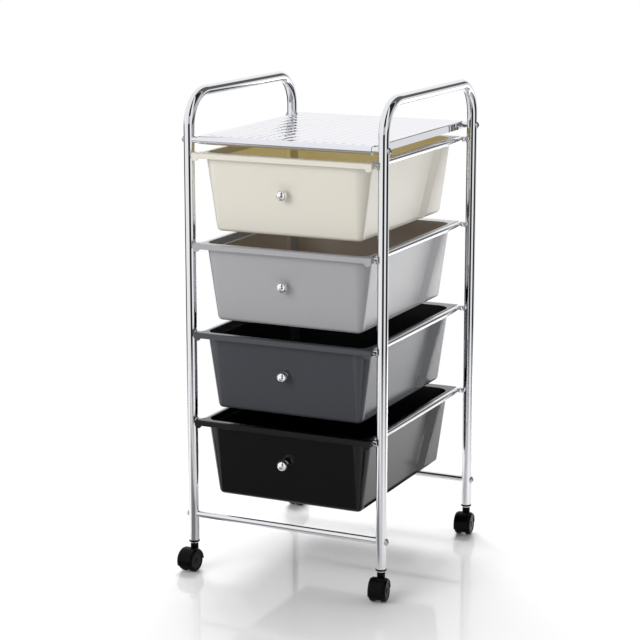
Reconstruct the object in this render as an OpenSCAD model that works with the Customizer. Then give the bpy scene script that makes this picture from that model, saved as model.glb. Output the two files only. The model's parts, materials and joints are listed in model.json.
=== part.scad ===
// Rolling four-drawer storage trolley. Millimetres, +Z up, front towards -Y, floor at z = 0 and the
// middle of the four posts at x = y = 0.

/* [Frame] */
// Distance between the left and right post axes
frame_w = 310; // [290:1:340]
// Distance between the front and rear post axes
frame_d = 342; // [320:1:370]
// Outer diameter of the post tube
post_d = 16; // [15:0.5:18]
// Wall thickness of the post tube
post_wall = 1.5; // [1.2:0.1:2]
// Centre-line radius of the two bends of each handle
handle_r = 50; // [40:1:56]
// Height of the handle's top above the shelf
handle_rise = 69; // [66:1:90]
// Diameter of the round bars that join the two side frames
bar_d = 10; // [9:0.5:11]
// Height of the bottom bars above the lower ends of the posts
bar_rise = 42; // [36:1:50]

/* [Runners] */
// Diameter of the drawer runner rods
rod_d = 9; // [8:0.5:9.5]
// Distance between a runner rod's axis and the post axes beside it
rod_inset = 17; // [16:0.5:19]

/* [Shelf] */
// Sheet thickness of the top shelf
sheet = 1.2; // [1:0.1:1.5]
// Height of the shelf's front-to-back ribs above the sheet
rib_rise = 0.8; // [0.5:0.1:1.2]
// Distance from one rib to the next
rib_pitch = 15; // [13:0.5:18]

/* [Drawers] */
// Vertical distance from one drawer to the next
drawer_pitch = 134; // [124:1:146]
// Wall thickness of the drawer tubs
tub_wall = 2.2; // [1.8:0.1:2.6]
// Corner radius of the tubs, at the rim
corner_r = 24; // [22:1:28]
// Depth of the sunk panel in each side of a tub
panel_sink = 4.5; // [2:0.5:5.5]
// Diameter of the knob's ball
knob_d = 16.5; // [13:0.5:18]

/* [Castors] */
// Diameter of the castor wheels
wheel_d = 34; // [30:1:38]
// Width of one castor wheel
wheel_w = 8.6; // [7.5:0.1:9.5]
// Distance between a castor's swivel axis and its wheel axis
trail = 12; // [11:0.5:13]
// Turned angle of the front left castor
yaw_front_left = -4; // [-180:1:180]
// Turned angle of the front right castor
yaw_front_right = 10; // [-180:1:180]
// Turned angle of the rear left castor
yaw_rear_left = 172; // [-180:1:180]
// Turned angle of the rear right castor
yaw_rear_right = 7; // [-180:1:180]

/* [Hidden] */
$fn = 72;
gap = 0.3;
run_fit = 0.05;
eps = 0.01;
// How far a cutting shape stands out of what it cuts
cut = 1;
big = 1000;
post_r = post_d / 2;
post_x = frame_w / 2;
post_y = frame_d / 2;
bar_r = bar_d / 2;
rod_r = rod_d / 2;

// Castor heights
wheel_r = wheel_d / 2;
wheel_edge_r = 5;
wheel_play = 0.3;
hood_air = 0.5;
hood_wall = 1.5;
hood_r = wheel_r + hood_air + hood_wall;
hood_top = wheel_r + hood_r;
hood_wrap_deg = 200;
web_w = 9;
web_low = 7;
axle_d = 4;
axle_tip = 0.5;
hub_floor = 1.6;
collar_d = 10;
collar_h = 5.6;
collar_top = hood_top + collar_h;
stem_d = 8;
stem_show = 2;
stem_in = 18;
pin_d = 6;
pin_in = 10;
pin_end_air = 0.5;
collar_in = 9;
socket_rim = 1.8;
socket_step = 0.5;
socket_len = 24;
socket_end_t = 4;
dish_h = 0.8;
hub_r = 4.5;
post_end = collar_top + stem_show + socket_rim;

// Heights of the frame
runner_air = 22;
tub_drop = drawer_pitch - runner_air;
tub_air = 34.5;
bar_z = post_end + bar_rise;
lowest_rod_z = bar_z + tub_drop + tub_air;
rod_z = [for (i = [3:-1:0]) lowest_rod_z + i * drawer_pitch];
roll_r = bar_r + sheet;
shelf_rise = 22.3;
shelf_bar_z = rod_z[0] + shelf_rise;
shelf_top = shelf_bar_z + roll_r;
frame_h = shelf_top + handle_rise;
handle_z = frame_h - post_r;

// Screws through the posts
screw_d = 5;
screw_play = 0.2;
screw_grip = 18;
screw_head_d = 10;
screw_head_h = 3.4;
screw_edge = 0.8;
screw_skirt = 2;
hex_r = 1.8;
hex_floor = 1.2;

// Runner rods
rod_x = post_x - rod_inset;
rod_bury = 1;
rod_bend_r = rod_inset - post_r + rod_bury;

// Shelf
shelf_over = 2;
shelf_x = rod_x + shelf_over;
flange_h = 12;
fold_r = 2.2;
rib_top_w = 2.4;
rib_foot_w = 7;
rib_narrow = 0.5;
roll_lead = 1;
roll_gap = 3;

// Tub: heights are counted from the axis of its runner rods
rim_top = rod_r;
taper = 0.138;
taper_deg = atan(taper);
front_reach = 7;
rear_inset = 15.5;
tub_x = rod_x - rod_r - gap;
tub_front = -post_y - front_reach;
tub_rear = post_y - rear_inset;
base_r = corner_r - (rim_top + tub_drop) * taper;
base_fillet = base_r - 1;
room_fillet = base_fillet - 0.6 * tub_wall;
floor_t = 2.5;
rim_inset = 3;
rim_reach = 1;
rim_x = rod_x - rim_inset;
rim_t = 2.4;
rim_rear = post_y + rim_reach;
seat_r = rod_r + gap;
seat_reach = 10;
lip_inset = 11.7;
lip_reach = 16;
lip_x = post_x - lip_inset;
lip_front = -post_y - lip_reach;
lip_rise = 0.8;
lip_drop = 3;
lip_t = 2.4;
lip_r = 1;
lip_round = 3;
over = 2;
lip_back = -post_y - rod_r - gap;
tab_r = 5.5;
tab_drop = 7;
tab_t = 2;
panel_low = 4.5;
panel_high = 8;
panel_front_edge = 6;
panel_rear_edge = 64;
panel_front = tub_front + corner_r + panel_front_edge;
panel_rear = tub_rear - panel_rear_edge;
panel_lean = 17;
panel_ramp_w = 21;
panel_edge_deg = 32;

// Knob
knob_drop = 48;
knob_reach = 10;
knob_base_d = 9;
knob_base_h = 1.2;
knob_neck_d = 6.5;
knob_screw_d = 4;
knob_screw_in = 7;
knob_screw_air = 0.5;
knob_head_d = 8;
knob_head_h = 2.2;
cross_l = 4.4;
cross_w = 1;
cross_in = 1.2;

module at_posts() {
  for (x = [-post_x, post_x])
    for (y = [-post_y, post_y])
      translate([x, y, 0]) children();
}

// Extrudes a shape drawn in Y and Z along X, the same distance to both sides
module along_x(length) {
  rotate([90, 0, 90]) linear_extrude(height = length, center = true) children();
}

// Extrudes a shape drawn in X and Z along Y, from y0 to y1
module along_y(y0, y1) {
  translate([0, y1, 0]) rotate([90, 0, 0]) linear_extrude(height = y1 - y0) children();
}

// One bend of the handle, from a vertical post to the level bar, in the Y-Z plane
module handle_bend(r) {
  rotate([0, -90, 0])
    rotate_extrude(angle = 90)
      translate([handle_r, 0]) circle(r);
}

// Solid of a side frame with the given tube radius, its posts longer by that much below
module frame_path(r, below) {
  bend_z = handle_z - handle_r;
  bend_y = post_y - handle_r;
  for (y = [-post_y, post_y])
    translate([0, y, post_end - below]) cylinder(r = r, h = bend_z - post_end + below);
  translate([0, bend_y, bend_z]) handle_bend(r);
  mirror([0, 1, 0]) translate([0, bend_y, bend_z]) handle_bend(r);
  translate([0, bend_y, handle_z]) rotate([90, 0, 0]) cylinder(r = r, h = 2 * bend_y);
}

module side_frame(side) {
  color("silver")
    translate([side * post_x, 0, 0])
      difference() {
        frame_path(post_r, 0);
        frame_path(post_r - post_wall, cut);
        for (y = [-post_y, post_y])
          for (z = [bar_z, shelf_bar_z])
            translate([0, y, z]) rotate([0, 90, 0])
              cylinder(d = screw_d + 2 * screw_play, h = 3 * post_r, center = true);
      }
}

// Runner rod: straight beside the drawer, both ends bent outwards and shaped to the posts
module runner(side, z) {
  bend_y = post_y - rod_bend_r;
  color("silver")
    translate([side * rod_x, 0, z]) on_side(side)
      difference() {
        union() {
          translate([0, bend_y, 0]) rotate([90, 0, 0]) cylinder(r = rod_r, h = 2 * bend_y);
          runner_end(bend_y);
          mirror([0, 1, 0]) runner_end(bend_y);
        }
        for (y = [-post_y, post_y])
          translate([rod_inset, y, -2 * rod_d]) cylinder(r = post_r, h = 4 * rod_d);
      }
}

// The rear end of a right-hand runner, from its axis
module runner_end(bend_y) {
  translate([rod_bend_r, bend_y, 0])
    rotate([0, 0, 90])
      rotate_extrude(angle = 90)
        translate([rod_bend_r, 0]) circle(rod_r);
  translate([rod_bend_r, post_y, 0]) rotate([0, 90, 0])
    cylinder(r = rod_r, h = rod_inset - rod_bend_r);
}

// Turns something drawn for the right-hand side over to the given side
module on_side(side) {
  mirror([side < 0 ? 1 : 0, 0, 0]) children();
}

// Round bar from post to post, its ends shaped to the posts and bored for the screws
module cross_bar(side, z) {
  color("silver")
    translate([0, side * post_y, z])
      difference() {
        rotate([0, 90, 0]) cylinder(r = bar_r, h = frame_w, center = true);
        for (x = [-post_x, post_x])
          translate([x, 0, -2 * bar_d]) cylinder(r = post_r, h = 4 * bar_d);
        for (s = [-1, 1])
          translate([s * (post_x - post_r - screw_grip / 2), 0, 0]) rotate([0, 90, 0])
            cylinder(d = screw_d, h = screw_grip + 2 * post_r, center = true);
      }
}

// One screw, drawn at the right-hand post: domed head with a six-sided socket on the post's outer side
module frame_screw() {
  rise = screw_head_h - screw_edge;
  head_r = screw_head_d / 2;
  dome_r = (head_r * head_r + rise * rise) / (2 * rise);
  difference() {
    union() {
      translate([-post_r - screw_grip, 0, 0]) rotate([0, 90, 0])
        cylinder(d = screw_d, h = 2 * post_r + screw_grip + screw_skirt / 2);
      difference() {
        translate([post_r - screw_skirt, 0, 0]) rotate([0, 90, 0])
          rotate_extrude() intersection() {
            translate([0, screw_skirt + screw_head_h - dome_r]) circle(dome_r);
            square([head_r, screw_skirt + screw_head_h]);
          }
        translate([0, 0, -screw_head_d]) cylinder(r = post_r, h = 2 * screw_head_d);
      }
    }
    translate([post_r + hex_floor, 0, 0]) rotate([0, 90, 0]) cylinder(r = hex_r, h = screw_head_h, $fn = 6);
  }
}

module frame_screws() {
  color("gray")
    for (s = [-1, 1])
      for (y = [-post_y, post_y])
        for (z = [bar_z, shelf_bar_z])
          on_side(s) translate([post_x, y, z]) frame_screw();
}

// Section of the shelf sheet with its side flanges and ribs, in X and Z from the sheet's top
module shelf_section() {
  n = floor((shelf_x - rib_pitch / 2) / rib_pitch);
  difference() {
    union() {
      translate([-shelf_x, -flange_h]) square([2 * shelf_x, flange_h - fold_r]);
      translate([-shelf_x + fold_r, -flange_h]) square([2 * (shelf_x - fold_r), flange_h]);
      for (s = [-1, 1]) translate([s * (shelf_x - fold_r), -fold_r]) circle(fold_r);
      for (i = [-n:n]) translate([i * rib_pitch, 0]) rib_shape(0);
    }
    translate([-shelf_x + sheet, -flange_h - cut])
      square([2 * (shelf_x - sheet), flange_h + cut - fold_r]);
    translate([-shelf_x + fold_r, -flange_h - cut])
      square([2 * (shelf_x - fold_r), flange_h + cut - sheet]);
    for (s = [-1, 1])
      translate([s * (shelf_x - fold_r), -fold_r]) circle(fold_r - sheet);
    for (i = [-n:n]) translate([i * rib_pitch, -sheet]) rib_shape(rib_narrow);
  }
}

// Flat-topped rib; narrow takes that much off each side
module rib_shape(narrow) {
  foot = rib_foot_w / 2 - narrow;
  top = rib_top_w / 2 - narrow;
  polygon([[-foot, -eps], [-foot, 0], [-top, rib_rise], [top, rib_rise], [foot, 0], [foot, -eps]]);
}

// Top shelf: ribbed sheet whose front and rear edges are rolled round the top bars
module shelf_panel() {
  flat_y = post_y - roll_r - roll_lead;
  color("gainsboro")
    translate([0, 0, shelf_top]) {
      along_y(-flat_y, flat_y) shelf_section();
      for (s = [0, 1])
        mirror([0, s, 0]) translate([0, post_y, 0]) shelf_roll(post_y - flat_y);
    }
}

// Flat strip and three-quarter roll at the shelf's rear edge, from the bar's axis
module shelf_roll(strip) {
  along_x(2 * rod_x)
    difference() {
      union() {
        translate([-strip, -sheet]) square([strip, sheet]);
        translate([0, -roll_r]) circle(roll_r);
      }
      translate([0, -roll_r]) circle(bar_r);
      translate([-2 * roll_r, -roll_r - roll_gap]) square([2 * roll_r, roll_r + roll_gap - sheet]);
    }
}

// Plug in the lower end of each post, with a rim under the tube and a bore for the stem
module castor_sockets() {
  color("black")
    at_posts()
      difference() {
        union() {
          translate([0, 0, post_end]) cylinder(r = post_r - post_wall, h = socket_len);
          translate([0, 0, post_end - socket_rim]) cylinder(r = post_r - socket_step, h = socket_rim);
        }
        translate([0, 0, post_end - socket_rim - cut])
          cylinder(d = stem_d, h = socket_rim + cut + socket_len - socket_end_t);
      }
}

// Steel stems: the thick part sits in the sockets, the thin pin turns in the hoods
module castor_stems() {
  color("silver")
    at_posts() {
      translate([0, 0, collar_top + gap]) cylinder(d = stem_d, h = post_end + stem_in - collar_top - gap);
      translate([0, 0, hood_top - pin_in]) cylinder(d = pin_d, h = pin_in + collar_h + gap);
    }
}

// Half section of a tub's walls about a corner's axis: x is the radius, y the height
module corner_profile(r_top, z0, z1, fillet) {
  r0 = r_top - (z1 - z0) * taper;
  cx = r0 + fillet * taper - fillet / cos(taper_deg);
  tx = cx + fillet * cos(taper_deg);
  tz = z0 + fillet - fillet * sin(taper_deg);
  polygon([[0, z0], [cx, z0], [cx, z0 + fillet], [tx, tz], [r_top, z1], [0, z1]]);
  intersection() {
    translate([cx, z0 + fillet]) circle(fillet);
    translate([cx, z0]) square([fillet, fillet + eps]);
  }
}

// Tapered tub shape with round upright corners and a round lower edge; sizes are at the top
module tapered_box(half_x, y0, y1, r_top, z0, z1, fillet) {
  cx = half_x - r_top;
  cy0 = y0 + r_top;
  cy1 = y1 - r_top;
  along_y(cy0, cy1) {
    translate([-cx, z0]) square([2 * cx, z1 - z0]);
    translate([cx, 0]) corner_profile(r_top, z0, z1, fillet);
    mirror([1, 0]) translate([cx, 0]) corner_profile(r_top, z0, z1, fillet);
  }
  translate([0, cy1, 0]) rotate([0, 0, 90]) tub_end(cx, r_top, z0, z1, fillet);
  translate([0, cy0, 0]) rotate([0, 0, -90]) tub_end(cx, r_top, z0, z1, fillet);
  for (x = [-1, 1])
    for (y = [-1, 1])
      translate([x * cx, y > 0 ? cy1 : cy0, 0])
        rotate([0, 0, x * y > 0 ? (x > 0 ? 0 : 180) : (x > 0 ? -90 : 90)])
          rotate_extrude(angle = 90) corner_profile(r_top, z0, z1, fillet);
}

// The straight wall part at a tub's front or rear, drawn towards +X
module tub_end(cx, r_top, z0, z1, fillet) {
  along_y(-cx, cx) corner_profile(r_top, z0, z1, fillet);
}

// Block that sinks a panel into the tub's right side, with a sloping ledge under it
module panel_cutter() {
  intersection() {
    panel_planes(0);
    on_panel(0, panel_low - tub_drop) rotate([0, panel_edge_deg, 0]) half_space([-0.5, -0.5, 0]);
  }
}

// Goes to a point on the sunk face, y along the trolley and z up, with +Z up the sloping face
module on_panel(behind, z) {
  x = tub_x - panel_sink - behind - (rim_top - z) * taper;
  translate([x, 0, z]) rotate([0, taper_deg, 0]) children();
}

// Large cube whose corner lies at the given shares of its size from the origin
module half_space(at) {
  translate(big * at) cube(big);
}

// The space beside a tub that its inner wall keeps clear of; behind sets it back by the wall
module panel_planes(behind) {
  ramp_deg = atan(panel_ramp_w / panel_sink);
  intersection() {
    on_panel(behind, rim_top) half_space([0, -0.5, -0.5]);
    on_panel(behind, rim_top) translate([0, panel_front - behind, 0])
      rotate([0, 0, -panel_edge_deg]) half_space([-0.5, 0, -0.5]);
    on_panel(behind, rim_top) translate([0, panel_rear + behind, 0])
      rotate([-panel_lean, 0, 0]) rotate([0, 0, ramp_deg]) half_space([-0.5, -1, -0.5]);
    translate([0, 0, behind - panel_high]) half_space([0, -0.5, -1]);
  }
}

// Front lip in section, in Y and Z: a top plate and a front plate with rounded edges
module lip_section() {
  top = rim_top + lip_rise;
  depth = lip_back - lip_front;
  difference() {
    union() {
      translate([0, -lip_drop + lip_r]) square([lip_t, top + lip_drop - 2 * lip_r]);
      translate([lip_r, -lip_drop]) square([lip_t - lip_r, lip_r]);
      translate([lip_r, -lip_drop + lip_r]) circle(lip_r);
      translate([lip_round, top - lip_round]) circle(lip_round);
      translate([lip_round, top - lip_t]) square([depth - lip_round, lip_t]);
    }
    translate([lip_t, -lip_drop - cut]) square([depth, top + lip_drop + cut - lip_t]);
  }
}

// Rim, front lip and the two end tabs of a tub, before the opening is cut
module tub_rim() {
  rim_y = tub_rear - corner_r;
  translate([-rim_x, lip_back, rim_top - rim_t]) cube([2 * rim_x, rim_rear - lip_back, rim_t]);
  translate([-rim_x, lip_back, -rim_t]) cube([2 * rim_x, rim_y - lip_back, rim_top]);
  translate([0, lip_front, 0]) along_x(2 * lip_x) lip_section();
  for (s = [-1, 1]) {
    translate([s * (lip_x - lip_t / 2), lip_front + lip_round, -lip_drop])
      translate([-lip_t / 2, 0, 0])
        cube([lip_t, lip_back - lip_front - lip_round, rim_top + lip_drop]);
    translate([s * (lip_x - tab_r), lip_front + lip_t, tab_r - tab_drop])
      rotate([90, 0, 0]) cylinder(r = tab_r, h = tab_t);
  }
}

// Outer shape of a tub with its side panels sunk in
module tub_body() {
  difference() {
    tapered_box(tub_x, tub_front, tub_rear, corner_r, -tub_drop, rim_top, base_fillet);
    panel_cutter();
    mirror([1, 0, 0]) panel_cutter();
  }
}

// Room inside a tub, open at the top
module tub_room() {
  in = tub_wall / cos(taper_deg) - over * taper;
  difference() {
    tapered_box(tub_x - in, tub_front + in, tub_rear - in, corner_r - in,
      -tub_drop + floor_t, rim_top + over, room_fillet);
    panel_planes(tub_wall);
    mirror([1, 0, 0]) panel_planes(tub_wall);
  }
}

module drawer_tub(i, shade) {
  color(shade)
    translate([0, 0, rod_z[i]])
      difference() {
        union() {
          tub_body();
          tub_rim();
        }
        tub_room();
        for (s = [-1, 1])
          translate([s * rod_x, 0, 0]) rotate([90, 0, 0])
            cylinder(r = seat_r, h = frame_d + 2 * seat_reach, center = true);
        on_front() cylinder(d = knob_screw_d + 2 * screw_play, h = 4 * knob_screw_in, center = true);
      }
}

// Puts something on the sloping front wall of a tub, with its +Z pointing out of the wall
module on_front() {
  y = tub_front + (rim_top + knob_drop) * taper;
  translate([0, y, -knob_drop]) rotate([90 + taper_deg, 0, 0]) children();
}

// Ball knob on a short neck, bored for its screw
module knob(i) {
  color("silver")
    translate([0, 0, rod_z[i]]) on_front()
      difference() {
        union() {
          cylinder(d = knob_base_d, h = knob_base_h);
          cylinder(d = knob_neck_d, h = knob_reach);
          translate([0, 0, knob_reach]) sphere(knob_d / 2);
        }
        translate([0, 0, -cut]) cylinder(d = knob_screw_d, h = cut + knob_screw_in);
      }
}

// Screw that holds the knob, its head against the wall's inner side
module knob_screw(i) {
  color("gray")
    translate([0, 0, rod_z[i]]) on_front()
      translate([0, 0, -tub_wall]) difference() {
        union() {
          cylinder(d = knob_screw_d, h = tub_wall + knob_screw_in - knob_screw_air);
          translate([0, 0, -knob_head_h]) cylinder(d = knob_head_d, h = knob_head_h);
        }
        for (a = [0, 90])
          rotate([0, 0, a]) translate([0, 0, -knob_head_h])
            cube([cross_l, cross_w, 2 * cross_in], center = true);
      }
}

// Draws something at one castor: origin on the floor under the swivel axis, wheels towards -Y
module at_castor(sx, sy, yaw) {
  translate([sx * post_x, sy * post_y, 0]) rotate([0, 0, yaw]) children();
}

// Puts something on the wheel axis, with +Z along the axle
module on_axle() {
  translate([0, -trail, wheel_r]) rotate([0, 90, 0]) children();
}

// Half section through a round edge: x is the radius, y the distance from the middle
module edge_profile(y0, r, round_r, y_end) {
  arc_x = wheel_r - wheel_edge_r;
  arc_y = web_w / 2 + wheel_play + wheel_w - wheel_edge_r;
  translate([0, y0]) square([arc_x, y_end - y0]);
  translate([0, y0]) square([r, arc_y - y0]);
  intersection() {
    translate([arc_x, arc_y]) circle(round_r);
    translate([arc_x, arc_y]) square([round_r, y_end - arc_y]);
  }
}

// Hood round both wheels with a web between them and a collar on top
module hood(sx, sy, yaw) {
  side_y = web_w / 2 + wheel_play + wheel_w;
  shell_edge_r = wheel_edge_r + hood_air + hood_wall;
  color("black")
    at_castor(sx, sy, yaw)
      difference() {
        union() {
          on_axle() rotate([0, 0, 90])
            rotate_extrude(angle = hood_wrap_deg)
              for (s = [0, 1])
                mirror([0, s]) edge_profile(0, hood_r, shell_edge_r, side_y);
          difference() {
            on_axle() cylinder(r = wheel_r + hood_air + hood_wall / 2, h = web_w, center = true);
            translate([-web_w, -trail - big / 2, -big]) cube([2 * web_w, big, big + web_low]);
          }
          translate([0, 0, hood_top - collar_in]) cylinder(d = collar_d, h = collar_in + collar_h);
        }
        for (s = [0, 1])
          on_axle() mirror([0, 0, s])
            rotate_extrude()
              edge_profile(web_w / 2, wheel_r + hood_air, wheel_edge_r + hood_air, side_y + cut);
        on_axle() cylinder(d = axle_d, h = 2 * web_w, center = true);
        translate([0, 0, hood_top - pin_in - pin_end_air])
          cylinder(d = pin_d + 2 * run_fit, h = pin_end_air + pin_in + collar_h + cut);
      }
}

// Axle that carries both wheels, its ends hidden in their hubs
module axle(sx, sy, yaw) {
  reach = web_w + 2 * (wheel_play + wheel_w - hub_floor - axle_tip);
  color("silver")
    at_castor(sx, sy, yaw) on_axle() cylinder(d = axle_d, h = reach, center = true);
}

// Half section of a wheel: x is the radius, y the distance from its inner face
module wheel_profile() {
  square([wheel_r, wheel_w - wheel_edge_r]);
  square([wheel_r - wheel_edge_r, wheel_w]);
  intersection() {
    translate([wheel_r - wheel_edge_r, wheel_w - wheel_edge_r]) circle(wheel_edge_r);
    translate([wheel_r - wheel_edge_r, 0]) square([wheel_edge_r, wheel_w]);
  }
}

// Wheel with a shallow dish round its hub, bored from inside for the axle
module wheel(sx, sy, yaw, side) {
  color("black")
    at_castor(sx, sy, yaw) on_axle()
      mirror([0, 0, side < 0 ? 1 : 0]) translate([0, 0, web_w / 2 + wheel_play])
        difference() {
          rotate_extrude() wheel_profile();
          translate([0, 0, wheel_w - dish_h]) difference() {
            cylinder(r = wheel_r - wheel_edge_r, h = dish_h + cut);
            translate([0, 0, -cut]) cylinder(r = hub_r, h = dish_h + 3 * cut);
          }
          translate([0, 0, -cut]) cylinder(d = axle_d + 2 * run_fit, h = cut + wheel_w - hub_floor);
        }
}

side_frame(-1);  // side_frame_left
side_frame(1);  // side_frame_right
runner(-1, rod_z[0]);  // runner_left_1
runner(-1, rod_z[1]);  // runner_left_2
runner(-1, rod_z[2]);  // runner_left_3
runner(-1, rod_z[3]);  // runner_left_4
runner(1, rod_z[0]);  // runner_right_1
runner(1, rod_z[1]);  // runner_right_2
runner(1, rod_z[2]);  // runner_right_3
runner(1, rod_z[3]);  // runner_right_4
cross_bar(-1, shelf_bar_z);  // bar_top_front
cross_bar(1, shelf_bar_z);  // bar_top_rear
cross_bar(-1, bar_z);  // bar_bottom_front
cross_bar(1, bar_z);  // bar_bottom_rear
frame_screws();
shelf_panel();
castor_sockets();
castor_stems();
drawer_tub(0, "ivory");  // drawer_tub_1
drawer_tub(1, "darkgray");  // drawer_tub_2
drawer_tub(2, "dimgray");  // drawer_tub_3
drawer_tub(3, "black");  // drawer_tub_4
knob(0);  // knob_1
knob(1);  // knob_2
knob(2);  // knob_3
knob(3);  // knob_4
knob_screw(0);  // knob_screw_1
knob_screw(1);  // knob_screw_2
knob_screw(2);  // knob_screw_3
knob_screw(3);  // knob_screw_4
hood(-1, -1, yaw_front_left);  // hood_front_left
hood(1, -1, yaw_front_right);  // hood_front_right
hood(-1, 1, yaw_rear_left);  // hood_rear_left
hood(1, 1, yaw_rear_right);  // hood_rear_right
axle(-1, -1, yaw_front_left);  // axle_front_left
axle(1, -1, yaw_front_right);  // axle_front_right
axle(-1, 1, yaw_rear_left);  // axle_rear_left
axle(1, 1, yaw_rear_right);  // axle_rear_right
wheel(-1, -1, yaw_front_left, -1);  // wheel_a_front_left
wheel(-1, -1, yaw_front_left, 1);  // wheel_b_front_left
wheel(1, -1, yaw_front_right, -1);  // wheel_a_front_right
wheel(1, -1, yaw_front_right, 1);  // wheel_b_front_right
wheel(-1, 1, yaw_rear_left, -1);  // wheel_a_rear_left
wheel(-1, 1, yaw_rear_left, 1);  // wheel_b_rear_left
wheel(1, 1, yaw_rear_right, -1);  // wheel_a_rear_right
wheel(1, 1, yaw_rear_right, 1);  // wheel_b_rear_right
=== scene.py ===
"""Looks of the rolling drawer trolley: finishes, soft-edged plastic, floor, lamps and camera, in metres."""
import json
import math

import bmesh
import bpy
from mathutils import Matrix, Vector
from mathutils.bvhtree import BVHTree


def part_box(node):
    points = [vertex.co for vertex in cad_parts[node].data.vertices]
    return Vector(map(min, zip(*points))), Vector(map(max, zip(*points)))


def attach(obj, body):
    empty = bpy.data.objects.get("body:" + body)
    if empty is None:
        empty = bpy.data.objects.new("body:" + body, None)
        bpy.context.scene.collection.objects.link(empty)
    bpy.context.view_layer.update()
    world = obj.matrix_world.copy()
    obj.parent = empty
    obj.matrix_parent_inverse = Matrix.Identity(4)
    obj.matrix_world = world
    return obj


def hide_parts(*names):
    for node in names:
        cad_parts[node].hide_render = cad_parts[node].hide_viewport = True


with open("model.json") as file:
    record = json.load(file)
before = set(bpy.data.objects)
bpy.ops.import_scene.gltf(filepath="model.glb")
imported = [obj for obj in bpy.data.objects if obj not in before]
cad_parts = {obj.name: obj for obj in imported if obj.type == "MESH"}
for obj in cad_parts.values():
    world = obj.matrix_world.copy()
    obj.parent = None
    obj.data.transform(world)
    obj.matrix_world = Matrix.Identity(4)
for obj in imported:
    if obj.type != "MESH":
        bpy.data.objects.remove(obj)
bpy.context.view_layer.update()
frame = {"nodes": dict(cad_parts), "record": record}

MM = 0.001
UP = (0, 0, 1)
DRAWERS = (1, 2, 3, 4)
SIGN_OF_SIDE = {"left": -1, "right": 1}
CORNERS = ("front_left", "front_right", "rear_left", "rear_right")
BODY_OF_NODE = {
    node: body for body, nodes in frame["record"]["behaviour"]["bodies"].items() for node in nodes}


# Colours and shader nodes

TIMES = {"operation": "MULTIPLY"}
SOFT_STEP = {"interpolation_type": "SMOOTHSTEP"}


def linear(hex_colour):
    """An sRGB hex colour as the linear numbers that shaders take."""
    parts = [int(hex_colour[i:i + 2], 16) / 255 for i in (1, 3, 5)]
    straight = [c / 12.92 if c <= 0.04045 else ((c + 0.055) / 1.055) ** 2.4 for c in parts]
    return (*straight, 1.0)


def add_node(tree, kind, settings=None, inputs=None):
    """Adds a shader node. An input, by name or in order, takes a value, a node or one of a node's outputs."""
    node = tree.nodes.new(kind)
    for name, value in (settings or {}).items():
        setattr(node, name, value)
    pairs = inputs.items() if isinstance(inputs, dict) else enumerate(inputs or ())
    for name, value in pairs:
        if isinstance(value, bpy.types.Node):
            value = value.outputs[0]
        if isinstance(value, bpy.types.NodeSocket):
            tree.links.new(value, node.inputs[name])
        else:
            node.inputs[name].default_value = value
    return node


def new_material(name):
    """A material with an empty node tree."""
    material = bpy.data.materials.new(name)
    material.use_nodes = True
    material.node_tree.nodes.clear()
    return material


# Finishes

# Noise lies mostly between these two levels, which the spreads of haze and gloss then fill
NOISE_LEVELS = (0.3, 0.7)
RIPPLE_DEPTH_MM = 0.1
HAZE_MM = 25
HAZE_SPREAD = (0.7, 1.5)
CLOUD_MM = 150
# The real grain, of about 0.1 mm, is too fine to show, so it is drawn as coarse as this
GRAIN_MM = 2.5
GRAIN_DEPTH_MM = 0.02
GRAIN_STRENGTH = 0.08
GLOSS_PATCH_MM = 40
GLOSS_SPREAD = (0.96, 1.04)
# That of polypropylene, and nylon's is hardly higher
PLASTIC_IOR = 1.49


def plated_steel(name, colour, rough, ripple_mm, ripple_strength=0.05):
    """Bright plating on steel: it mirrors the studio, bent by slow ripples, with patches of faint haze."""
    material = new_material(name)
    tree = material.node_tree
    place = add_node(tree, "ShaderNodeTexCoord").outputs["Object"]
    waves = add_node(tree, "ShaderNodeTexNoise", None, {"Vector": place, "Scale": 1 / (ripple_mm * MM)})
    bump = add_node(tree, "ShaderNodeBump", None, {
        "Height": waves, "Strength": ripple_strength, "Distance": RIPPLE_DEPTH_MM * MM})
    patches = add_node(tree, "ShaderNodeTexNoise", None, {"Vector": place, "Scale": 1 / (HAZE_MM * MM)})
    haze = add_node(tree, "ShaderNodeMapRange", None, (
        patches, *NOISE_LEVELS, *(rough * part for part in HAZE_SPREAD)))
    shader = add_node(tree, "ShaderNodeBsdfPrincipled", None, {
        "Base Color": linear(colour), "Metallic": 1.0, "Roughness": haze, "Normal": bump})
    add_node(tree, "ShaderNodeOutputMaterial", None, {"Surface": shader})
    return material


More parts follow.
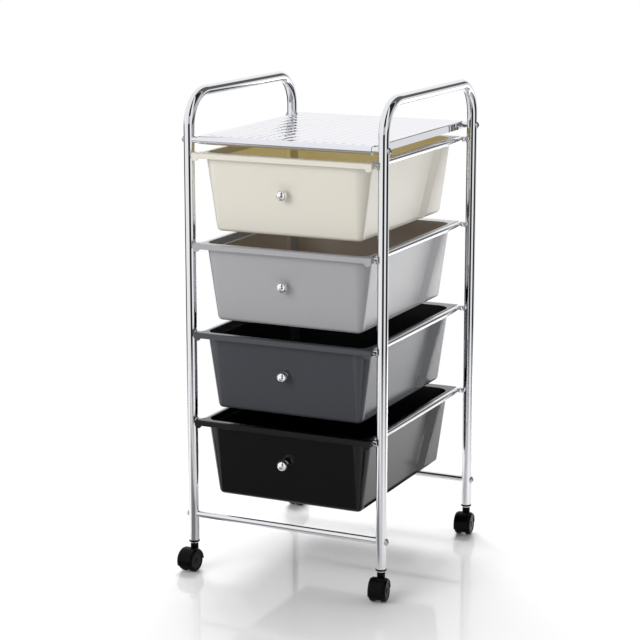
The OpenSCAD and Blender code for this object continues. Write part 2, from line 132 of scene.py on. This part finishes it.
def moulded_plastic(name, colour, shade, rough, gloss_level=0.5, painted_light_colour="#000000", painted_light_strength=0.0):
    """A smooth moulded skin, faintly clouded, with hardly visible grain. Its emission is painted light, for
    light through the wall.
    """
    material = new_material(name)
    tree = material.node_tree
    place = add_node(tree, "ShaderNodeTexCoord").outputs["Object"]
    clouds = add_node(tree, "ShaderNodeTexNoise", None, {
        "Vector": place, "Scale": 1 / (CLOUD_MM * MM), "Detail": 0.0})
    # Of this node, inputs 6 and 7 and output 2 are the ones for colours
    clouded = add_node(tree, "ShaderNodeMix", {"data_type": "RGBA"}, {
        0: clouds, 6: linear(colour), 7: linear(shade)}).outputs[2]
    grain = add_node(tree, "ShaderNodeTexNoise", None, {
        "Vector": place, "Scale": 1 / (GRAIN_MM * MM), "Detail": 3.0})
    bump = add_node(tree, "ShaderNodeBump", None, {
        "Height": grain, "Strength": GRAIN_STRENGTH, "Distance": GRAIN_DEPTH_MM * MM})
    patches = add_node(tree, "ShaderNodeTexNoise", None, {
        "Vector": place, "Scale": 1 / (GLOSS_PATCH_MM * MM)})
    gloss = add_node(tree, "ShaderNodeMapRange", None, (
        patches, *NOISE_LEVELS, *(rough * part for part in GLOSS_SPREAD)))
    shader = add_node(tree, "ShaderNodeBsdfPrincipled", None, {
        "Base Color": clouded, "Roughness": gloss, "IOR": PLASTIC_IOR,
        "Specular IOR Level": gloss_level, "Normal": bump,
        "Emission Color": linear(painted_light_colour), "Emission Strength": painted_light_strength})
    add_node(tree, "ShaderNodeOutputMaterial", None, {"Surface": shader})
    return material


FINISH = {
    # Chromium plated on drawn steel tube and rod: a clear mirror with short ripples from the drawing
    "tube_chrome": plated_steel("chrome_plated_tube", "#e6e7ea", 0.03, 8),
    # Chromium plated on pressed steel sheet: a mirror that bends only slowly, a little softer than the tube
    "sheet_chrome": plated_steel("chrome_plated_sheet", "#e7e7ee", 0.05, 70, ripple_strength=0.02),
    # Chromium plated on a turned and polished ball: the brightest mirror, almost without ripples
    "ball_chrome": plated_steel("chrome_plated_ball", "#f4f4f6", 0.03, 6, ripple_strength=0.03),
    # Zinc plated on steel screws and pins: greyer and softer than the chrome
    "zinc": plated_steel("zinc_plated_steel", "#b9bcc0", 0.22, 2),
    # Polypropylene moulded in polished tools: an even colour and a soft gloss that mirrors things faintly.
    # Their insides are painted: painted shade darkens the dark ones, and painted light, for light through the
    # wall, warms the pale ones
    "cream": moulded_plastic("cream_polypropylene", "#d4d0c5", "#d3cfc3", 0.24),
    "cream_inside": moulded_plastic(
        "cream_polypropylene_inside", "#d8d3c7", "#d6d1c4", 0.3, gloss_level=0.3,
        painted_light_colour="#ffe798", painted_light_strength=0.16),
    "light_grey": moulded_plastic("light_grey_polypropylene", "#9f9fa1", "#9d9da0", 0.22, gloss_level=0.4),
    "light_grey_inside": moulded_plastic(
        "light_grey_polypropylene_inside", "#a3a09c", "#9f9c98", 0.3, gloss_level=0.3,
        painted_light_colour="#ffca88", painted_light_strength=0.026),
    "slate": moulded_plastic("slate_polypropylene", "#3f4146", "#3d3f44", 0.16, gloss_level=0.4),
    "slate_inside": moulded_plastic(
        "slate_polypropylene_inside", "#1b1c1e", "#191a1c", 0.2, gloss_level=0.2),
    "black": moulded_plastic("black_polypropylene", "#080808", "#070707", 0.13, gloss_level=0.35),
    "black_inside": moulded_plastic(
        "black_polypropylene_inside", "#060606", "#050505", 0.2, gloss_level=0.2),
    # Nylon moulded in finely etched tools: deep black with little shine
    "castor_nylon": moulded_plastic("moulded_nylon", "#050506", "#040405", 0.26, gloss_level=0.09),
}
FINISH_OF_DRAWER = {1: "cream", 2: "light_grey", 3: "slate", 4: "black"}


def finish_of(node):
    """Which finish a carried-over CAD node gets, from its name."""
    if node.startswith("drawer_tub_"):
        return FINISH_OF_DRAWER[int(node[-1])]
    if node.startswith(("knob_screw_", "axle_")) or node == "frame_screws":
        return "zinc"
    if node.startswith("knob_"):
        return "ball_chrome"
    if node == "shelf_panel":
        return "sheet_chrome"
    if node.startswith(("hood_", "wheel_")) or node == "castor_sockets":
        return "castor_nylon"
    return "tube_chrome"


for node_name, node_object in frame["nodes"].items():
    node_object.data.materials.clear()
    node_object.data.materials.append(FINISH[finish_of(node_name)])


def put_in_scene(piece, body, finish):
    """Gives a piece its finish and material slot, and lets it move with a CAD body."""
    bpy.context.scene.collection.objects.link(piece)
    piece.data.materials.clear()
    piece.data.materials.append(FINISH[finish])
    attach(piece, body)


# Pieces with the small radii that moulds, press tools and polishing leave

TUB_EDGE_MM = 0.8
SHELF_EDGE_MM = 0.3
HOOD_EDGE_MM = 0.6
WHEEL_EDGE_MM = 0.4
EDGE_STEPS = 3
SAME_PLACE_MM = 0.001
SAME_PLANE_DEG = 0.6
EDGE_FROM_DEG = 28
SHALLOW_EDGE_FROM_DEG = 5
# The stretch of a tub's sides, from front to back, that is clear of the round corners
PANEL_Y_MM = (-153, 131)
FOUR_SIDES_AND_DOWN = ((1, 0, 0), (-1, 0, 0), (0, 1, 0), (0, -1, 0), (0, 0, -1))


def beside_corners(place):
    """True where a tub's sides have their sunk panels, whose edges are shallow."""
    return PANEL_Y_MM[0] * MM < place.y < PANEL_Y_MM[1] * MM


def soft_edged(node, name, edge_mm, shallow_too=lambda place: False):
    """A copy of a CAD node with edges rounded by edge_mm, the shallow ones only where shallow_too says so."""
    mesh = frame["nodes"][node].data.copy()
    shape = bmesh.new()
    shape.from_mesh(mesh)
    bmesh.ops.remove_doubles(shape, verts=shape.verts, dist=SAME_PLACE_MM * MM)
    bmesh.ops.dissolve_limit(shape, angle_limit=math.radians(SAME_PLANE_DEG), verts=shape.verts,
                             edges=shape.edges, delimit={"NORMAL"})
    for face in shape.faces:
        face.smooth = True
    edge_weight = shape.edges.layers.float.new("bevel_weight_edge")
    for edge in shape.edges:
        bend = math.degrees(edge.calc_face_angle(0.0))
        shallow = bend > SHALLOW_EDGE_FROM_DEG and all(shallow_too(v.co) for v in edge.verts)
        if bend > EDGE_FROM_DEG or shallow:
            edge[edge_weight] = 1.0
    shape.to_mesh(mesh)
    shape.free()
    piece = bpy.data.objects.new(name, mesh)
    bevel = piece.modifiers.new("soft_edges", "BEVEL")
    bevel.width = edge_mm * MM
    bevel.segments = EDGE_STEPS
    bevel.limit_method = "WEIGHT"
    piece.modifiers.new("even_shading", "WEIGHTED_NORMAL").keep_sharp = True
    put_in_scene(piece, BODY_OF_NODE[node], finish_of(node))
    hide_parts(node)
    return piece


def paint_light_inside_tub(piece, finish):
    """Gives the faces inside a tub the finish with painted shade and light: such a face has walls on all four
    sides, and a floor.
    """
    mesh = piece.data
    mesh.materials.append(FINISH[finish])
    walls = BVHTree.FromPolygons([v.co for v in mesh.vertices], [f.vertices for f in mesh.polygons])
    for face in mesh.polygons:
        place = face.center + face.normal * MM
        if all(walls.ray_cast(place, Vector(way))[0] for way in FOUR_SIDES_AND_DOWN):
            face.material_index = 1


for number in DRAWERS:
    tub = soft_edged(f"drawer_tub_{number}", f"tub_{number}", TUB_EDGE_MM, beside_corners)
    # The insides get painted shade, and the pale ones painted light as well
    paint_light_inside_tub(tub, FINISH_OF_DRAWER[number] + "_inside")
soft_edged("shelf_panel", "shelf", SHELF_EDGE_MM)
for corner in CORNERS:
    soft_edged(f"hood_{corner}", f"castor_hood_{corner}", HOOD_EDGE_MM)
    for letter in ("a", "b"):
        soft_edged(f"wheel_{letter}_{corner}", f"castor_wheel_{letter}_{corner}", WHEEL_EDGE_MM)


# Turned pieces

TURNS = 56
CREASE_FROM_DEG = 50
# How far a tub's walls lean from upright
TUB_SLOPE_DEG = 7.86
BALL_R_MM = 8.25
BALL_OUT_MM = 10
BALL_STEPS = 26
BALL_END_RAD = 0.03
KNOB_NECK_R_MM = 3.5
# Profiles have (distance along the axis, radius) in mm
KNOB_FOOT = ((0, 4.3), (0.15, 4.5), (0.85, 4.5), (1.1, 4.3), (1.25, 3.9), (1.5, 3.5), (1.9, 3.3), (2.3, 3.38))
SOCKET_PROFILE = (
    (-0.2, 4.4), (-0.2, 7.4), (-0.1, 7.9), (0.25, 8.2), (2.7, 8.2), (3.0, 8.02), (1.75, 8.02),
    (1.75, 6.45), (9, 6.45), (9.4, 6.0), (9.4, 4.4))
FLANGE_PROFILE = ((-1.75, 3.9), (-1.75, 6.0), (-1.6, 6.3), (-0.5, 6.3), (-0.35, 6.1), (-0.35, 3.9))
NECK_PROFILE = ((-13, 4.2), (-13, 6.1), (-1.0, 5.95), (-0.5, 5.85), (-0.15, 5.6), (0, 5.2), (0, 4.2))
# The CAD sockets' radius, and the length of stem that shows between a socket and its castor's neck
SOCKET_R_MM = 7.5
STEM_SHOWN_MM = 2


def smooth_object(name, shape):
    """Turns a bmesh into an object with sharp creases and smooth faces that look outwards."""
    bmesh.ops.recalc_face_normals(shape, faces=shape.faces)
    for face in shape.faces:
        face.smooth = True
    mesh = bpy.data.meshes.new(name)
    shape.to_mesh(mesh)
    shape.free()
    mesh.set_sharp_from_angle(angle=math.radians(CREASE_FROM_DEG))
    return bpy.data.objects.new(name, mesh)


def turned(name, profile_mm, places, axis, closed=False):
    """A turned piece at each place. A closed profile runs back to its start, as for a ring or a sleeve."""
    shape = bmesh.new()
    upright = Vector(UP).rotation_difference(Vector(axis))
    for place in places:
        rings = []
        for along, radius in profile_mm:
            spots = []
            for k in range(TURNS):
                a = 2 * math.pi * k / TURNS
                spot = Vector((radius * math.cos(a), radius * math.sin(a), along)) * MM
                spots.append(shape.verts.new(Vector(place) + upright @ spot))
            rings.append(spots)
        pairs = list(zip(rings, rings[1:])) + ([(rings[-1], rings[0])] if closed else [])
        for low, high in pairs:
            for k in range(TURNS):
                n = (k + 1) % TURNS
                shape.faces.new((low[k], low[n], high[n], high[k]))
        if not closed:
            shape.faces.new(rings[0][::-1])
            shape.faces.new(rings[-1])
    return smooth_object(name, shape)


def knob_profile():
    """Foot, waist and ball of a knob, from the wall outwards."""
    profile = list(KNOB_FOOT)
    first = math.asin(KNOB_NECK_R_MM / BALL_R_MM)
    for k in range(BALL_STEPS + 1):
        a = first + (math.pi - BALL_END_RAD - first) * k / BALL_STEPS
        profile.append((BALL_OUT_MM - BALL_R_MM * math.cos(a), BALL_R_MM * math.sin(a)))
    return profile


def make_knob(number):
    """Ball knob that stands square to the leaning front wall of its tub."""
    low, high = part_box(f"knob_{number}")
    ball_r = BALL_R_MM * MM
    ball = Vector(((low[0] + high[0]) / 2, low[1] + ball_r, low[2] + ball_r))
    slope = math.radians(TUB_SLOPE_DEG)
    outwards = Vector((0, -math.cos(slope), -math.sin(slope)))
    knob = turned(f"ball_knob_{number}", knob_profile(), [ball - outwards * BALL_OUT_MM * MM], outwards)
    put_in_scene(knob, BODY_OF_NODE[f"knob_{number}"], "ball_chrome")
    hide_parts(f"knob_{number}")


for number in DRAWERS:
    make_knob(number)

socket_low, socket_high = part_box("castor_sockets")
post_x = socket_high[0] - SOCKET_R_MM * MM
post_y = socket_high[1] - SOCKET_R_MM * MM
tube_end_z = socket_low[2]
post_places = {
    "front_left": (-post_x, -post_y), "front_right": (post_x, -post_y),
    "rear_left": (-post_x, post_y), "rear_right": (post_x, post_y)}
tube_ends = [(x, y, tube_end_z) for x, y in post_places.values()]


def make_socket_rims():
    """Nylon sockets in the ends of the posts, each with a rim that hides the end of its tube."""
    sockets = turned("socket_rims", SOCKET_PROFILE, tube_ends, UP, closed=True)
    put_in_scene(sockets, BODY_OF_NODE["castor_sockets"], "castor_nylon")
    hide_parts("castor_sockets")


def make_stem_flanges():
    """Chromed flanges on the stems, close below the sockets."""
    flanges = turned("stem_flanges", FLANGE_PROFILE, tube_ends, UP, closed=True)
    put_in_scene(flanges, BODY_OF_NODE["castor_stems"], "tube_chrome")


def make_castor_neck(corner, x, y):
    """Nylon neck of a castor's hood, round its stem."""
    top = (x, y, tube_end_z - STEM_SHOWN_MM * MM)
    neck = turned(f"castor_neck_{corner}", NECK_PROFILE, [top], UP, closed=True)
    put_in_scene(neck, BODY_OF_NODE[f"hood_{corner}"], "castor_nylon")


make_socket_rims()
make_stem_flanges()
for corner in CORNERS:
    make_castor_neck(corner, *post_places[corner])


# Weld beads

POST_R_MM = 8
BEAD_R_MM = 1.1
BEAD_OFF_ROD_MM = 0.3
BEAD_STEPS = 40
BEAD_SIDES = 8
# Each wave has how often the bead swells round the rod, by what part of its radius, and its shift per bead
BEAD_WAVES = ((7, 0.12, 1), (11, 0.08, 2))


def add_bead(shape, rod_box, sign, end, count):
    """One closed bead round the end of a rod, along the line where rod and post meet."""
    low, high = rod_box
    reach = (high[2] - low[2]) / 2 + BEAD_OFF_ROD_MM * MM
    rod_z = (high[2] + low[2]) / 2
    rings = []
    for k in range(BEAD_STEPS):
        a = 2 * math.pi * k / BEAD_STEPS
        across = reach * math.cos(a)
        post_bulge = math.sqrt((POST_R_MM * MM) ** 2 - across ** 2)
        middle = Vector((sign * (post_x - post_bulge), end * post_y + across, rod_z + reach * math.sin(a)))
        off_rod = Vector((0, math.cos(a), math.sin(a)))
        into_post = Vector((sign, 0, 0))
        swell = sum(part * math.sin(times * a + shift * count) for times, part, shift in BEAD_WAVES)
        spots = []
        for m in range(BEAD_SIDES):
            b = 2 * math.pi * m / BEAD_SIDES
            spot = (off_rod * math.cos(b) + into_post * math.sin(b)) * BEAD_R_MM * MM * (1 + swell)
            spots.append(shape.verts.new(middle + spot))
        rings.append(spots)
    for k in range(BEAD_STEPS):
        near = rings[k]
        far = rings[(k + 1) % BEAD_STEPS]
        for m in range(BEAD_SIDES):
            n = (m + 1) % BEAD_SIDES
            shape.faces.new((near[m], near[n], far[n], far[m]))


def weld_beads():
    """A bead of weld at each end of each runner rod."""
    shape = bmesh.new()
    count = 0
    for side, sign in SIGN_OF_SIDE.items():
        for number in DRAWERS:
            rod_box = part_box(f"runner_{side}_{number}")
            for end in (-1, 1):
                count += 1
                add_bead(shape, rod_box, sign, end, count)
    return smooth_object("weld_beads", shape)


put_in_scene(weld_beads(), BODY_OF_NODE["runner_left_1"], "tube_chrome")


# Floor

STUDIO_WHITE = linear("#ffffff")
FLOOR_REACH_M = 12.0
FLOOR_COLOUR = "#f2f2f2"
FLOOR_ROUGH = 0.07
FLOOR_IOR = 1.45
# A pair of distances is where a change starts and where it ends
WHITE_FROM_MIDDLE_M = (0.15, 0.8)
CLEAR_TO_LONG_RAYS_M = (0.25, 1.6)
# Painted shade that only gloss sees: a dark patch on the floor in front of the drawers, so that their fronts
# mirror shade
PAINTED_SHADE_AZIMUTH_DEG = -27
PAINTED_SHADE_SIDE_M = 0.09
PAINTED_SHADE_HALF_M = (0.14, 0.24)
PAINTED_SHADE_IN_FRONT_M = (0.2, 0.3)
PAINTED_SHADE_BRIGHTNESS = 0.22


def polished_floor():
    """White polished floor. The camera sees it pure white away from the trolley, which keeps its shadow.

    Gloss sees painted shade on it in front of the drawers, a dark patch for their fronts to mirror, and looks
    through the floor where its ray is long.
    """
    material = new_material("polished_white_floor")
    tree = material.node_tree
    ray = add_node(tree, "ShaderNodeLightPath")
    glossy = ray.outputs["Is Glossy Ray"]
    place = add_node(tree, "ShaderNodeTexCoord").outputs["Object"]
    polished = add_node(tree, "ShaderNodeBsdfPrincipled", None, {
        "Base Color": linear(FLOOR_COLOUR), "Roughness": FLOOR_ROUGH, "IOR": FLOOR_IOR})
    white = add_node(tree, "ShaderNodeEmission", None, {"Color": STUDIO_WHITE, "Strength": 1.0})
    from_middle = add_node(tree, "ShaderNodeVectorMath", {"operation": "LENGTH"}, (place,)).outputs["Value"]
    whiter = add_node(tree, "ShaderNodeMapRange", SOFT_STEP, (from_middle, *WHITE_FROM_MIDDLE_M))
    white_part = add_node(tree, "ShaderNodeMath", TIMES, (whiter, ray.outputs["Is Camera Ray"]))
    shown = add_node(tree, "ShaderNodeMixShader", None, (white_part, polished, white))

    # The painted shade for gloss: a dark patch in front of the drawers
    by_painted_shade = add_node(tree, "ShaderNodeMapping", None, {
        "Vector": place, "Location": (-PAINTED_SHADE_SIDE_M, 0, 0),
        "Rotation": (0, 0, math.radians(-PAINTED_SHADE_AZIMUTH_DEG))})
    spot = add_node(tree, "ShaderNodeSeparateXYZ", None, (by_painted_shade,))
    off_middle = add_node(tree, "ShaderNodeMath", {"operation": "ABSOLUTE"}, (spot.outputs["X"],))
    between_edges = add_node(tree, "ShaderNodeMapRange", SOFT_STEP, (off_middle, *PAINTED_SHADE_HALF_M, 1.0, 0.0))
    past_start = add_node(tree, "ShaderNodeMapRange", SOFT_STEP, (
        spot.outputs["Y"], *(-distance for distance in PAINTED_SHADE_IN_FRONT_M)))
    on_painted_shade = add_node(tree, "ShaderNodeMath", TIMES, (between_edges, past_start))
    painted_shade_part = add_node(tree, "ShaderNodeMath", TIMES, (on_painted_shade, glossy))
    painted_shade = add_node(tree, "ShaderNodeEmission", None, {"Color": STUDIO_WHITE, "Strength": PAINTED_SHADE_BRIGHTNESS})
    with_painted_shade = add_node(tree, "ShaderNodeMixShader", None, (painted_shade_part, shown, painted_shade))

    clear = add_node(tree, "ShaderNodeBsdfTransparent")
    long_ray = add_node(tree, "ShaderNodeMapRange", None, (ray.outputs["Ray Length"], *CLEAR_TO_LONG_RAYS_M))
    clear_part = add_node(tree, "ShaderNodeMath", TIMES, (long_ray, glossy))
    seen = add_node(tree, "ShaderNodeMixShader", None, (clear_part, with_painted_shade, clear))
    add_node(tree, "ShaderNodeOutputMaterial", None, {"Surface": seen})
    return material


def make_floor():
    """One large square of floor, which isn't part of the trolley."""
    mesh = bpy.data.meshes.new("floor")
    corners = [(x * FLOOR_REACH_M, y * FLOOR_REACH_M, 0) for x, y in ((-1, -1), (1, -1), (1, 1), (-1, 1))]
    mesh.from_pydata(corners, [], [(0, 1, 2, 3)])
    mesh.materials.append(polished_floor())
    floor = bpy.data.objects.new("floor", mesh)
    bpy.context.scene.collection.objects.link(floor)


make_floor()


# Lamps

# Each soft box has its azimuth, distance, height, the height that it aims at, its size and its watts
SOFT_BOXES = {
    "front_box": (-20, 2.9, 1.7, 0.36, (2.2, 1.8), 57),
    "right_box": (115, 2.8, 0.9, 0.36, (1.6, 1.6), 13),
    "back_box": (205, 2.6, 3.3, 0.2, (2.6, 1.4), 172)}


def make_soft_box(name, azimuth_deg, distance, height, aim_height, size, watts):
    """A soft box round the trolley. Azimuth 0 is in front and 90 on its right. Gloss doesn't see the box."""
    data = bpy.data.lights.new(name, "AREA")
    data.shape = "RECTANGLE"
    data.size, data.size_y = size
    data.energy = watts
    lamp = bpy.data.objects.new(name, data)
    a = math.radians(azimuth_deg)
    place = Vector((distance * math.sin(a), -distance * math.cos(a), height))
    lamp.location = place
    lamp.rotation_euler = (Vector((0, 0, aim_height)) - place).to_track_quat("-Z", "Y").to_euler()
    lamp.visible_glossy = False
    bpy.context.scene.collection.objects.link(lamp)


for box_name, box_values in SOFT_BOXES.items():
    make_soft_box(box_name, *box_values)


# Studio round the trolley, as gloss sees it

# Each shape has the azimuth of its middle, half its width and half its soft edge, in degrees, and the two
# heights between which it comes in. Height goes from -1, straight down, to 1, straight up, so a shape that
# comes in below -1 is as high as the studio
ANY_HEIGHT = (-3, -2)
# These lie on the white walls and end with their brightness. Azimuth 0 is in front or, for from_back,
# behind, and both go round the same way
WALL_SHAPES = (
    # Right part of the back wall, a little darker
    ("from_front", (152, 12, 5), ANY_HEIGHT, 0.85),
    # Dark ceiling above it
    ("from_back", (-27, 17, 5), (0.03, 0.12), 0.12),
    # Grey card low down on the front left
    ("from_front", (-27, 34, 8), (-0.22, -0.36), 0.33),
    # Bright panel low down on the back right
    ("from_front", (160, 22, 8), (-0.2, -0.27), 2.8),
    # Dark floor below that panel
    ("from_back", (-16, 18, 6), (-0.38, -0.44), 0.2))
# Dark flags, which give the chrome its dark lines: front right, right, and low down on the left
FLAGS = (
    ((26, 21, 5), ANY_HEIGHT),
    ((109, 26, 7), ANY_HEIGHT),
    ((-112, 30, 6), (0.02, -0.08)))
FLAG_DEPTH = 0.98
# The flags let half the light through between these heights, so that the shelf isn't black from behind
THIN_FROM = (0.04, 0.12)
THIN_TO = (0.46, 0.38)
THIN_DEPTH = 0.5
# Brightness of the world for matt surfaces
MATT_LIGHT = 0.42


def studio_shape(tree, azimuth, height, band_deg, heights):
    """1 on a soft-edged shape of the studio, and 0 beside it."""
    middle, half, soft = (math.radians(part) for part in band_deg)
    aside = add_node(tree, "ShaderNodeMath", {"operation": "SUBTRACT"}, (azimuth, middle))
    off_middle = add_node(tree, "ShaderNodeMath", {"operation": "ABSOLUTE"}, (aside,))
    band = add_node(tree, "ShaderNodeMapRange", SOFT_STEP, (off_middle, half - soft, half + soft, 1.0, 0.0))
    level = add_node(tree, "ShaderNodeMapRange", SOFT_STEP, (height, *heights))
    return add_node(tree, "ShaderNodeMath", TIMES, (level, band))


def studio_light(tree):
    """Brightness of the studio in the direction in which a glossy ray looks."""
    direction = add_node(tree, "ShaderNodeTexCoord").outputs["Generated"]
    axis = add_node(tree, "ShaderNodeSeparateXYZ", None, (direction,))
    height = axis.outputs["Z"]
    left = add_node(tree, "ShaderNodeMath", TIMES, (axis.outputs["X"], -1.0))
    forward = add_node(tree, "ShaderNodeMath", TIMES, (axis.outputs["Y"], -1.0))
    azimuths = {
        "from_front": add_node(tree, "ShaderNodeMath", {"operation": "ARCTAN2"}, (
            axis.outputs["X"], forward)),
        "from_back": add_node(tree, "ShaderNodeMath", {"operation": "ARCTAN2"}, (left, axis.outputs["Y"]))}
    walls = 1.0
    for azimuth, band_deg, heights, shade in WALL_SHAPES:
        shape = studio_shape(tree, azimuths[azimuth], height, band_deg, heights)
        walls = add_node(tree, "ShaderNodeMapRange", SOFT_STEP, (shape, 0.0, 1.0, walls, shade))
    flags = 0.0
    for band_deg, heights in FLAGS:
        shape = studio_shape(tree, azimuths["from_front"], height, band_deg, heights)
        flags = add_node(tree, "ShaderNodeMath", {"operation": "ADD", "use_clamp": True}, (flags, shape))
    above = add_node(tree, "ShaderNodeMapRange", SOFT_STEP, (height, *THIN_FROM))
    below = add_node(tree, "ShaderNodeMapRange", SOFT_STEP, (height, *THIN_TO))
    thin = add_node(tree, "ShaderNodeMath", TIMES, (above, below))
    depth = add_node(tree, "ShaderNodeMapRange", SOFT_STEP, (thin, 0.0, 1.0, FLAG_DEPTH, THIN_DEPTH))
    dark = add_node(tree, "ShaderNodeMath", TIMES, (flags, depth))
    open_part = add_node(tree, "ShaderNodeMath", {"operation": "SUBTRACT"}, (1.0, dark))
    return add_node(tree, "ShaderNodeMath", TIMES, (walls, open_part))


def make_world():
    """White to the camera, evenly lit for matt surfaces, and for gloss a white studio with dark flags."""
    world = bpy.data.worlds.new("studio")
    bpy.context.scene.world = world
    world.use_nodes = True
    tree = world.node_tree
    tree.nodes.clear()
    ray = add_node(tree, "ShaderNodeLightPath")
    matt = add_node(tree, "ShaderNodeBackground", None, (STUDIO_WHITE, MATT_LIGHT))
    gloss = add_node(tree, "ShaderNodeBackground", None, (STUDIO_WHITE, studio_light(tree)))
    white = add_node(tree, "ShaderNodeBackground", None, (STUDIO_WHITE, 1.0))
    lit = add_node(tree, "ShaderNodeMixShader", None, (ray.outputs["Is Glossy Ray"], matt, gloss))
    seen = add_node(tree, "ShaderNodeMixShader", None, (ray.outputs["Is Camera Ray"], lit, white))
    add_node(tree, "ShaderNodeOutputWorld", None, {"Surface": seen})


make_world()


# Camera, at the place from which the photograph was taken

IMAGE_PX = 640
SENSOR_MM = 36.0
CAMERA_PLACE = (1.25209, -2.6944, 1.01949)
CAMERA_TURN_DEG = 25.3517
CAMERA_DOWN_DEG = 11.665
FOCAL_PX = 1982.2
# How far the lens shift lifts the trolley in the picture
RISE_PX = 24
CAMERA_SEES_M = (0.1, 60.0)


def make_camera():
    """The camera that was fitted to the posts, bars and rods in the photograph."""
    data = bpy.data.cameras.new("camera")
    data.sensor_width = SENSOR_MM
    data.lens = FOCAL_PX / IMAGE_PX * SENSOR_MM
    data.shift_y = -RISE_PX / IMAGE_PX
    data.clip_start, data.clip_end = CAMERA_SEES_M
    camera = bpy.data.objects.new("camera", data)
    camera.location = CAMERA_PLACE
    camera.rotation_euler = (math.radians(90 - CAMERA_DOWN_DEG), 0, math.radians(CAMERA_TURN_DEG))
    bpy.context.scene.collection.objects.link(camera)
    bpy.context.scene.camera = camera


make_camera()
bpy.context.scene.view_settings.view_transform = "Standard"
